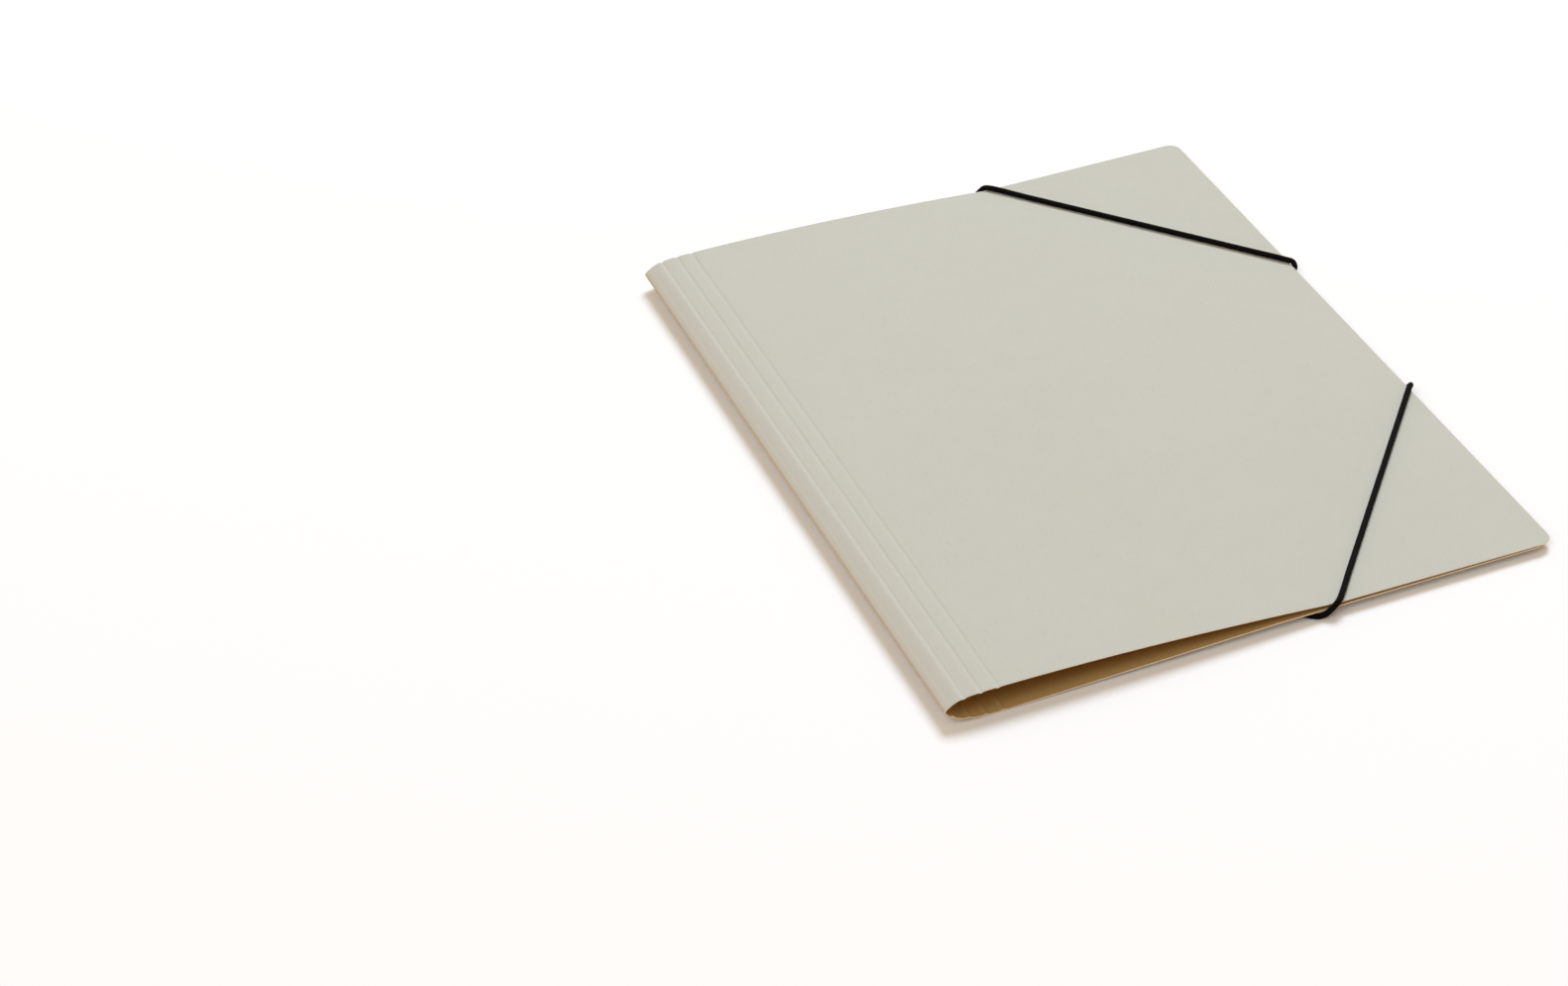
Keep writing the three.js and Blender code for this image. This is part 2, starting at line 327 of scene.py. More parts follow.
class NodeBench:
    """Adds and joins nodes in one tree, with short calls."""

    def __init__(self, tree: NodeTree) -> None:
        """Keeps the tree that the nodes go into."""
        self.tree = tree

    def add(self, kind: str, inputs: dict[str | int, object] | None = None,
            **settings: object) -> Node:
        """Adds a node and sets it.

        Args:
            kind: The node's type name.
            inputs: Values or sockets for its inputs, by name or number.
            settings: The node's own properties.

        Returns:
            The node.
        """
        node = self.tree.nodes.new(kind)
        for name, value in settings.items():
            setattr(node, name, value)
        for key, value in (inputs or {}).items():
            self.join(value, node.inputs[key])
        return node

    def join(self, value: object, socket: Socket) -> None:
        """Links a socket to an input, or sets the input's value.

        Args:
            value: The socket or the value.
            socket: The input.
        """
        if isinstance(value, Socket):
            self.tree.links.new(value, socket)
        else:
            socket.default_value = value

    def math(self, operation: str, *values: Number) -> Socket:
        """The result of one sum, by the operation's name."""
        return self.add("ShaderNodeMath", dict(enumerate(values)), operation=operation).outputs[0]

    def times(self, first: Number, second: Number) -> Socket:
        """One number times another."""
        return self.math("MULTIPLY", first, second)

    def ramp(self, factor: Socket, low: float, high: float,
             to_low: float = 0.0, to_high: float = 1.0) -> Socket:
        """Maps a number smoothly from one range to another, from 0 to 1 unless it's given."""
        ranges = {"From Min": low, "From Max": high, "To Min": to_low, "To Max": to_high}
        return self.add("ShaderNodeMapRange", {"Value": factor, **ranges},
                        interpolation_type="SMOOTHSTEP").outputs[0]

    def mix(self, factor: Number, first: Colour, second: Colour, blend: str = "MIX") -> Socket:
        """Mixes a share of the second colour into the first."""
        return self.add("ShaderNodeMix", {0: factor, 6: first, 7: second},
                        data_type="RGBA", blend_type=blend).outputs[2]

    def noise(self, place: Socket, scale: Socket, **look: float) -> Socket:
        """Soft noise at a place, of a scale, with the texture's own settings."""
        inputs = {"Vector": place, "Scale": scale, **look}
        return self.add("ShaderNodeTexNoise", inputs).outputs[0]

    def carried(self, name: str) -> Socket:
        """A number that the mesh carries for its material."""
        return self.add("ShaderNodeAttribute", attribute_name=name).outputs["Fac"]

    def place(self) -> Socket:
        """The place on the object."""
        return self.add("ShaderNodeTexCoord").outputs["Object"]

    def bump(self, surface: Node, height: Socket, strength: float, distance: float) -> None:
        """Lays a fine relief on a surface, of a strength and a height in metres."""
        inputs = {"Strength": strength, "Distance": distance, "Height": height}
        self.join(self.add("ShaderNodeBump", inputs).outputs[0], surface.inputs["Normal"])

    def seen(self) -> tuple[Socket, Socket]:
        """Marks the rays that show the studio itself.

        Returns:
            The camera's own rays, and those together with mirrored and refracted ones.
        """
        ray = self.add("ShaderNodeLightPath").outputs
        second_hand = self.math("MAXIMUM", ray["Is Glossy Ray"], ray["Is Transmission Ray"])
        return ray["Is Camera Ray"], self.math("MAXIMUM", ray["Is Camera Ray"], second_hand)


def srgb(colour: Rgb) -> tuple[float, ...]:
    """A display colour, from 0 to 255, as linear red, green, blue and alpha."""
    shares = (value / 255 for value in colour)
    return (*(s / 12.92 if s <= 0.04045 else ((s + 0.055) / 1.055) ** 2.4 for s in shares), 1.0)


def new_tree(name: str, kind: str, inputs: dict[str, str], outputs: dict[str, str]) -> NodeBench:
    """Starts a node tree with its sockets.

    Args:
        name: The tree's name.
        kind: The tree's type name.
        inputs: Its inputs, each with its kind of value.
        outputs: Its outputs, likewise.

    Returns:
        A bench on the tree.
    """
    tree = bpy.data.node_groups.new(name, kind)
    for way, sockets in (("INPUT", inputs), ("OUTPUT", outputs)):
        for label, value in sockets.items():
            tree.interface.new_socket(name=label, in_out=way, socket_type=f"NodeSocket{value}")
    return NodeBench(tree)


@dataclass(frozen=True)
class PressedFibres:
    """Long fine flecks lying three ways, by turn and stretch, over a soft mottle."""

    lays: tuple[Span, ...] = ((0.35, 0.16), (-0.9, 0.2), (1.9, 0.14))
    light: Span = (0.6, 0.78)
    dark: Span = (0.40, 0.26)
    fleck_height: float = 0.5
    mottle_height: float = 0.4

    def tree(self) -> NodeTree:
        """Builds the group.

        Returns:
            Its tree: Vector, Fleck Scale and Mottle Scale give Light, Dark, Mottle and Height.
        """
        bench = new_tree("pressed_fibres", "ShaderNodeTree",
                         {"Vector": "Vector", "Fleck Scale": "Float", "Mottle Scale": "Float"},
                         dict.fromkeys(("Light", "Dark", "Mottle", "Height"), "Float"))
        given = bench.add("NodeGroupInput").outputs
        flecks = []
        for turn, stretch in self.lays:
            laid = bench.add("ShaderNodeMapping", {
                "Vector": given["Vector"], "Rotation": (0.0, 0.0, turn),
                "Scale": (1.0, stretch, 1.0)}).outputs[0]
            flecks.append(bench.noise(laid, given["Fleck Scale"], Detail=3.0, Roughness=0.55,
                                      Distortion=0.4))
        light = bench.ramp(bench.math("MAXIMUM", flecks[0], flecks[1]), *self.light)
        dark = bench.ramp(bench.math("MINIMUM", flecks[1], flecks[2]), *self.dark)
        mottle = bench.noise(given["Vector"], given["Mottle Scale"], Detail=5.0, Roughness=0.6)
        crossed = bench.times(bench.math("ADD", flecks[0], flecks[2]), self.fleck_height)
        height = bench.math("ADD", crossed, bench.times(mottle, self.mottle_height))
        bench.add("NodeGroupOutput",
                  {"Light": light, "Dark": dark, "Mottle": mottle, "Height": height})
        return bench.tree


def wear_tree() -> NodeTree:
    """Light handling wear: soft patches and a fine grain, for roughness and tone.

    Returns:
        A group's tree: Vector, Patch Scale and Grain Scale give Patches and Grain.
    """
    bench = new_tree("handling_wear", "ShaderNodeTree",
                     {"Vector": "Vector", "Patch Scale": "Float", "Grain Scale": "Float"},
                     {"Patches": "Float", "Grain": "Float"})
    given = bench.add("NodeGroupInput").outputs
    patches = bench.noise(given["Vector"], given["Patch Scale"], Detail=3.0, Roughness=0.5)
    grain = bench.noise(given["Vector"], given["Grain Scale"], Detail=2.0, Roughness=0.6)
    bench.add("NodeGroupOutput", {"Patches": patches, "Grain": grain})
    return bench.tree


@dataclass
class SharedGroups:
    """The shader groups that more than one finish uses."""

    fibre_group: NodeTree = field(default_factory=lambda: PressedFibres().tree())
    wear_group: NodeTree = field(default_factory=wear_tree)

    def fibres(self, bench: NodeBench, place: Socket, fleck: float, mottle: float) -> Outputs:
        """Adds pressed fibres to a material and gives their outputs."""
        scales = {"Vector": place, "Fleck Scale": fleck, "Mottle Scale": mottle}
        return bench.add("ShaderNodeGroup", scales, node_tree=self.fibre_group).outputs

    def wear(self, bench: NodeBench, place: Socket, patch: float, grain: float) -> Outputs:
        """Adds handling wear to a material and gives its outputs."""
        scales = {"Vector": place, "Patch Scale": patch, "Grain Scale": grain}
        return bench.add("ShaderNodeGroup", scales, node_tree=self.wear_group).outputs


def new_material(name: str, fixed: dict[str, float]) -> tuple[Material, NodeBench, Node]:
    """Starts a material with its surface shader.

    Args:
        name: The material's name.
        fixed: The shader's values that are the same all over the surface.

    Returns:
        The material, a bench on its tree, and its Principled BSDF.
    """
    material = bpy.data.materials.new(name)
    material.use_nodes = True
    material.node_tree.nodes.clear()
    bench = NodeBench(material.node_tree)
    surface = bench.add("ShaderNodeBsdfPrincipled", fixed)
    bench.add("ShaderNodeOutputMaterial", {"Surface": surface.outputs[0]})
    return material, bench, surface


@dataclass(frozen=True)
class CardFinish:
    """Matt coloured card, seen on its faces, with some light and shade painted into its colour.

    Its UV map holds the place on the flat card in metres, from the fold. The reaches of its
    tints are metres too, each from where the tint begins to where it is full.
    """

    face: Rgb = (202, 202, 191)
    spine: Rgb = (202, 200, 190)
    # Painted light: paler near the fold, lifting the shade of the spine strip that faces away from
    # the lamps
    painted_spine_light: Rgb = (209, 208, 200)
    # Painted light on each crease's shaded flank, softening the crease's shade
    crease_light: Rgb = (211, 210, 200)
    # Pale fold band: partly worn card at the fold, partly a painted highlight along it
    fold: Rgb = (220, 213, 201)
    # Painted shade: the brown of the shadowed wedge, put on the whole inside face; the card's own
    # inside is grey-beige like its outside
    inside: Rgb = (204, 171, 112)
    pale_fibre: Rgb = (238, 234, 222)
    dark_fibre: Rgb = (150, 146, 128)
    pale_share: float = 0.10
    dark_share: float = 0.12

    spine_reach: Span = (0.004, -0.006)
    painted_spine_light_reach: Span = (0.0075, 0.001)
    crease_side: float = 0.0006
    crease_reach: Span = (0.001, 0.0003)
    last_crease: Span = (0.026, 0.024)
    near_fold: Remap = (0.014, 0.01, 0.3, 0.85)
    fold_reach: Span = (0.0022, 0.0006)
    fold_grain: Remap = (0.3, 0.6, 0.55, 1.0)

    fibre_scales: Span = (1400.0, 90.0)
    wear_scales: Span = (14.0, 3000.0)
    mottle_tone: Remap = (0.3, 0.7, 0.992, 1.006)
    patch_tone: Remap = (0.3, 0.7, 0.995, 1.004)
    roughness: Remap = (0.3, 0.7, 0.76, 0.88)
    fold_polish: float = 0.1
    relief: float = 0.55
    tooth: float = 0.00001

    def painted_crease_light_share(self, bench: NodeBench, form: FolderForm, place: Socket,
                 from_fold: Socket) -> Socket:
        """How much painted light lifts the shaded flank beside each crease, fading towards the
        fold.

        Args:
            bench: The material's bench.
            form: The folder's sizes.
            place: The place on the flat card.
            from_fold: Its distance from the fold.

        Returns:
            A share from 0 to 1.
        """
        shoulder = form.fold_to_crease * MM + self.crease_side
        from_crease = bench.math("PINGPONG", bench.math("SUBTRACT", place, shoulder),
                                 form.crease_pitch * MM / 2)
        on_spine = bench.ramp(from_fold, *self.last_crease)
        crease_light = bench.times(bench.ramp(from_crease, *self.crease_reach), on_spine)
        return bench.times(crease_light, bench.ramp(from_fold, *self.near_fold))

    def material(self, form: FolderForm, groups: SharedGroups) -> Material:
        """Builds the material.

        Args:
            form: The folder's sizes, for where its creases and its fold lie.
            groups: The shared shader groups.

        Returns:
            The material.
        """
        material, bench, surface = new_material("card_face", {"Specular IOR Level": 0.3})
        flat = bench.add("ShaderNodeUVMap", uv_map="flat_card").outputs[0]
        place = bench.add("ShaderNodeSeparateXYZ", {0: flat}).outputs[0]
        fibres = groups.fibres(bench, flat, *self.fibre_scales)
        wear = groups.wear(bench, flat, *self.wear_scales)

        from_spine_end = (form.spine_front * MM + reach for reach in self.spine_reach)
        from_fold = bench.math("ABSOLUTE", place)
        # Share of the fold band, worn card and painted highlight together; it also lowers the
        # roughness there
        rubbed_and_lit = bench.times(bench.ramp(from_fold, *self.fold_reach),
                             bench.ramp(wear["Grain"], *self.fold_grain))
        colour = srgb(self.face)
        for share, tint in (
                (bench.ramp(place, *from_spine_end), self.spine),
                # Painted light near the fold, lifting the spine strip's shade
                (bench.ramp(from_fold, *self.painted_spine_light_reach), self.painted_spine_light),
                # Painted light on the shaded flank of each crease
                (self.painted_crease_light_share(bench, form, place, from_fold), self.crease_light),
                # Pale fold band: worn card and a painted highlight
                (rubbed_and_lit, self.fold),
                # Painted shade: the inside face tinted brown like the shadowed wedge
                (bench.carried("inner_face"), self.inside),
                (bench.times(fibres["Light"], self.pale_share), self.pale_fibre),
                (bench.times(fibres["Dark"], self.dark_share), self.dark_fibre)):
            colour = bench.mix(share, colour, srgb(tint))
        tone = bench.times(bench.ramp(fibres["Mottle"], *self.mottle_tone),
                           bench.ramp(wear["Patches"], *self.patch_tone))
        grey = bench.add("ShaderNodeCombineColor", {0: tone, 1: tone, 2: tone}).outputs[0]
        bench.join(bench.mix(1.0, colour, grey, "MULTIPLY"), surface.inputs["Base Color"])
        rough = bench.math("SUBTRACT", bench.ramp(wear["Patches"], *self.roughness),
                           bench.times(rubbed_and_lit, self.fold_polish))
        bench.join(rough, surface.inputs["Roughness"])
        bench.bump(surface, fibres["Height"], self.relief, self.tooth)
        return material


@dataclass(frozen=True)
class CutEdgeFinish:
    """The card's cut edge: paler, pinkish layers of pulp."""

    pulp: Rgb = (244, 238, 230)
    layer: Rgb = (221, 211, 200)
    pale_fibre: Rgb = (240, 230, 216)
    layer_share: float = 0.55
    fibre_share: float = 0.3
    layers_per_card: float = 5.0
    layer_band: Span = (-0.6, 0.9)
    layer_break: Span = (0.35, 0.6)
    fibre_scales: Span = (2600.0, 700.0)
    relief: float = 0.7
    tooth_per_card: float = 0.03

    def material(self, form: FolderForm, groups: SharedGroups) -> Material:
        """Builds the material.

        Args:
            form: The folder's sizes, for the card's thickness.
            groups: The shared shader groups.

        Returns:
            The material.
        """
        material, bench, surface = new_material(
            "card_cut_edge", {"Roughness": 0.92, "Specular IOR Level": 0.2})
        fibres = groups.fibres(bench, bench.place(), *self.fibre_scales)
        turns = bench.times(bench.carried("through_card"), math.pi * self.layers_per_card)
        band = bench.times(bench.ramp(bench.math("SINE", turns), *self.layer_band),
                           bench.ramp(fibres["Mottle"], *self.layer_break))
        colour = bench.mix(bench.times(band, self.layer_share), srgb(self.pulp), srgb(self.layer))
        flecked = bench.times(fibres["Light"], self.fibre_share)
        bench.join(bench.mix(flecked, colour, srgb(self.pale_fibre)), surface.inputs["Base Color"])
        bench.bump(surface, fibres["Height"], self.relief, form.card * MM * self.tooth_per_card)
        return material


@dataclass(frozen=True)
class ElasticFinish:
    """Black textile yarn over rubber, darkened to a painted shade in the braid's hollows and
    between its yarns.

    The mesh carries the braid's height, and the place across the strand that lies on top.
    """

    yarn: Rgb = (17, 14, 12)
    # Painted shade that the yarn darkens to where the braid and its yarns lie low
    shade: Rgb = (5, 4, 3)
    yarns_around: float = 96.0
    wear_scales: Span = (180.0, 5200.0)
    strand_shade: Span = (0.15, 0.95)
    yarn_shade: Remap = (-1.0, 1.0, 0.72, 1.0)
    patch_tone: Remap = (0.3, 0.7, 0.85, 1.0)
    roughness: Remap = (0.3, 0.7, 0.68, 0.86)
    yarn_height: float = 0.5
    relief: float = 0.6
    tooth: float = 0.00003

    def material(self, groups: SharedGroups) -> Material:
        """Builds the material.

        Args:
            groups: The shared shader groups.

        Returns:
            The material.
        """
        fixed = {"Sheen Weight": 0.012, "Sheen Roughness": 0.5, "Specular IOR Level": 0.05}
        material, bench, surface = new_material("elastic_yarn", fixed)
        wear = groups.wear(bench, bench.place(), *self.wear_scales)
        yarn = bench.math("SINE", bench.times(bench.carried("yarn_across"), self.yarns_around))
        # Painted shade: darker in the braid's hollows and between yarns, by their height; the
        # patches are wear
        tone = bench.times(bench.ramp(bench.carried("braid_relief"), *self.strand_shade),
                           bench.ramp(yarn, *self.yarn_shade))
        tone = bench.times(tone, bench.ramp(wear["Patches"], *self.patch_tone))
        bench.join(bench.mix(tone, srgb(self.shade), srgb(self.yarn)),
                   surface.inputs["Base Color"])
        bench.join(bench.ramp(wear["Grain"], *self.roughness), surface.inputs["Roughness"])
        height = bench.math("ADD", bench.times(yarn, self.yarn_height), wear["Grain"])
        bench.bump(surface, height, self.relief, self.tooth)
        return material


@dataclass(frozen=True)
class BarFinish:
    """Dark moulded plastic of the end bars."""

    body: Rgb = (44, 44, 47)
    # Paler rubbed plastic, in random patches of wear
    rubbed_and_lit: Rgb = (78, 77, 78)
    rubbed_share: float = 0.5
    rubbed_patches: Span = (0.5, 0.72)
    wear_scales: Span = (220.0, 4200.0)
    roughness: Remap = (0.35, 0.65, 0.34, 0.54)
    relief: float = 0.5
    tooth: float = 0.00001

    def material(self, groups: SharedGroups) -> Material:
        """Builds the material.

        Args:
            groups: The shared shader groups.

        Returns:
            The material.
        """
        material, bench, surface = new_material("end_bar_plastic", {})
        wear = groups.wear(bench, bench.place(), *self.wear_scales)
        share = bench.times(bench.ramp(wear["Patches"], *self.rubbed_patches), self.rubbed_share)
        bench.join(bench.mix(share, srgb(self.body), srgb(self.rubbed_and_lit)),
                   surface.inputs["Base Color"])
        bench.join(bench.ramp(wear["Patches"], *self.roughness), surface.inputs["Roughness"])
        bench.bump(surface, wear["Grain"], self.relief, self.tooth)
        return material


def plain_object(name: str, mesh: bpy.types.Mesh) -> Object:
    """Puts a mesh into the scene as an object at the origin.

    Args:
        name: The object's name.
        mesh: Its mesh.

    Returns:
        The object.
    """
    made = bpy.data.objects.new(name, mesh)
    bpy.context.scene.collection.objects.link(made)
    return made


def close_mesh(name: str, work: bmesh.types.BMesh) -> bpy.types.Mesh:
    """Turns a worked shape into a mesh, and frees the work.

    Args:
        name: The mesh's name.
        work: The shape.

    Returns:
        The mesh.
    """
    mesh = bpy.data.meshes.new(name)
    work.to_mesh(mesh)
    work.free()
    return mesh


def bake_modifiers(made: Object) -> None:
    """Turns an object's evaluated shape into its plain mesh, and removes its modifiers.

    Args:
        made: The object.
    """
    bpy.context.view_layer.update()
    graph = bpy.context.evaluated_depsgraph_get()
    mesh = bpy.data.meshes.new_from_object(made.evaluated_get(graph), depsgraph=graph,
                                           preserve_all_data_layers=True)
    mesh.name = made.name
    made.modifiers.clear()
    made.data = mesh


def evenly(low: float, high: float, count: int) -> list[float]:
    """Places from one to another in equal steps, both ends included."""
    return [low + (high - low) * i / count for i in range(count + 1)]


@dataclass
class FolderCard:
    """The whole card: both covers, creases and fold, with rounded fore corners and two holes."""

    form: FolderForm
    place: Placing
    chamfer: float = 0.2
    corner_steps: int = 12
    crease_step: float = 0.26
    fold_step: float = 0.2
    spine_step: float = 0.8
    panel_step: float = 4.0
    row_step: float = 4.0
    spine_margin: float = 2.0
    widest_strip: float = 12.0
    hole_sides: int = 40
    punch_depth: float = 3.0
    sharp_angle: float = 35.0
    merge_distance: float = 1e-7
    speck: float = 1e-8

    def columns(self) -> list[float]:
        """Places along the flat card between the fore corners' centres, close at fold and creases.

        Returns:
            The places, rising from the back cover to the front cover.
        """
        form = self.form
        places = {form.spine_back - form.back_panel + form.corner_radius,
                  form.spine_front + form.front_panel - form.corner_radius}
        half = form.crease_width / 2
        for middle in map(form.crease_at, form.crease_numbers):
            places.update(evenly(middle - half, middle + half,
                                 round(form.crease_width / self.crease_step)))
        places.update(evenly(-form.fold_half_width, form.fold_half_width,
                             round(2 * form.fold_half_width / self.fold_step)))
        ordered = sorted(places)
        low, high = form.spine_back - self.spine_margin, form.spine_front + self.spine_margin
        filled: list[float] = []
        for here, after in zip(ordered, ordered[1:]):
            on_spine = low < here < high and after - here < self.widest_strip
            step = self.spine_step if on_spine else self.panel_step
            filled += evenly(here, after, max(1, math.ceil((after - here) / step - SLACK)))[:-1]
        return [*filled, ordered[-1]]

    def grid(self, inset: float) -> list[list[Span]]:
        """Places of the flat card's grid, with its outline drawn in by a small distance.

        Args:
            inset: How far the outline is drawn in.

        Returns:
            Rows from the bottom end to the top end, of places across the card and along the spine.
        """
        form = self.form
        radius = form.corner_radius - inset
        angles = evenly(0.0, math.pi / 2, self.corner_steps)
        corner_rows = [(form.corner_radius - radius * math.cos(a), math.sin(a)) for a in angles]
        end = form.cover_length / 2
        middle = end - form.corner_radius
        count = math.ceil(2 * middle / self.row_step)
        rows = [(-end + drop, reach) for drop, reach in corner_rows]
        rows += [(y, 1.0) for y in evenly(-middle, middle, count)[1:-1]]
        rows += [(end - drop, reach) for drop, reach in reversed(corner_rows)]
        columns = self.columns()
        steps = evenly(0.0, radius, self.corner_steps)[1:]
        result = []
        for y, reach in rows:
            before = [columns[0] - reach * step for step in reversed(steps)]
            after = [columns[-1] + reach * step for step in steps]
            result.append([(s, y) for s in (*before, *columns, *after)])
        return result

    def mesh(self) -> bpy.types.Mesh:
        """Builds the bent card as one closed mesh with a fine chamfer along its cut edges.

        Returns:
            The mesh, with its faces and its cut edges in their slots.
        """
        form = self.form
        inner_grid, full_grid = self.grid(self.chamfer), self.grid(0.0)
        rows, columns = len(full_grid), len(full_grid[0])
        work = bmesh.new()
        flat_layer = work.loops.layers.uv.new("flat_card")
        inner_layer = work.verts.layers.float.new("inner_face")
        through_layer = work.verts.layers.float.new("through_card")
        flat_place: dict[Vertex, Span] = {}

        def point(place: Span, side: float) -> Vertex:
            """A vertex of the bent card at a place of the flat one.

            Args:
                place: Across the card and along the spine.
                side: Place through the card, from -1 to 1.

            Returns:
                The vertex.
            """
            s, y = place
            x, z = form.folded_point(s, y, side)
            vertex = work.verts.new(self.place(x, y, z))
            vertex[inner_layer] = 1.0 if side < 0 else 0.0
            vertex[through_layer] = side
            flat_place[vertex] = (s * MM, y * MM)
            return vertex

        def patch(corners: tuple[Vertex, ...], slot: CardSlot) -> None:
            """A smooth face with its place on the flat card.

            Args:
                corners: Its vertices in order.
                slot: Its material.
            """
            made = work.faces.new(corners)
            made.smooth = True
            made.material_index = slot.value
            for loop in made.loops:
                loop[flat_layer].uv = flat_place[loop.vert]

        outside, inside = ([[point(place, face.value) for place in row] for row in inner_grid]
                           for face in Face)
        rim = [(0, j) for j in range(columns)]
        rim += [(i, columns - 1) for i in range(1, rows)]
        rim += [(rows - 1, j) for j in range(columns - 2, -1, -1)]
        rim += [(i, 0) for i in range(rows - 2, 0, -1)]
        wall = 1 - 2 * self.chamfer / form.card
        rings = [[outside[i][j] for i, j in rim],
                 [point(full_grid[i][j], wall) for i, j in rim],
                 [point(full_grid[i][j], -wall) for i, j in rim],
                 [inside[i][j] for i, j in rim]]
        for i in range(rows - 1):
            for j in range(columns - 1):
                patch((outside[i][j], outside[i][j + 1], outside[i + 1][j + 1],
                       outside[i + 1][j]), CardSlot.FACE)
                patch((inside[i][j], inside[i + 1][j], inside[i + 1][j + 1],
                       inside[i][j + 1]), CardSlot.FACE)
        for upper, lower in zip(rings, rings[1:]):
            for k in range(len(rim)):
                after = (k + 1) % len(rim)
                patch((upper[k], lower[k], lower[after], upper[after]), CardSlot.CUT_EDGE)
        bmesh.ops.remove_doubles(work, verts=work.verts, dist=self.merge_distance)
        bmesh.ops.dissolve_degenerate(work, edges=work.edges, dist=self.speck)
        bmesh.ops.recalc_face_normals(work, faces=work.faces)
        return close_mesh("folded_card", work)

    def punches(self, slots: list[Material]) -> Object:
        """The two round punches that cut the elastic's holes.

        Args:
            slots: The card's materials, in its own order.

        Returns:
            An object to subtract.
        """
        form = self.form
        radius = form.hole_diameter / 2 * MM
        work = bmesh.new()
        for end in End:
            centre = self.place(form.hole_x, form.hole_y(end), form.back_height)
            bmesh.ops.create_cone(work, cap_ends=True, segments=self.hole_sides, radius1=radius,
                                  radius2=radius, depth=self.punch_depth * form.card * MM,
                                  matrix=Matrix.Translation(centre))
        for face in work.faces:
            face.material_index = CardSlot.CUT_EDGE.value
            face.smooth = True
        mesh = close_mesh("hole_punches", work)
        for material in slots:
            mesh.materials.append(material)
        return plain_object("hole_punches", mesh)

    def build(self, finish: CardFinish, edge: CutEdgeFinish, groups: SharedGroups) -> Object:
        """Builds and dresses the card.

        Args:
            finish: The faces' finish.
            edge: The cut edges' finish.
            groups: The shared shader groups.

        Returns:
            The card's object.
        """
        slots = [finish.material(self.form, groups), edge.material(self.form, groups)]
        card = plain_object("folded_card", self.mesh())
        for material in slots:
            card.data.materials.append(material)
        punches = self.punches(slots)
        cut = card.modifiers.new("holes", "BOOLEAN")
        cut.object = punches
        cut.operation = "DIFFERENCE"
        cut.solver = "EXACT"
        bake_modifiers(card)
        bpy.data.objects.remove(punches, do_unlink=True)
        card.data.set_sharp_from_angle(angle=math.radians(self.sharp_angle))
        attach(card, "root")
        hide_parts("folder_card")
        return card


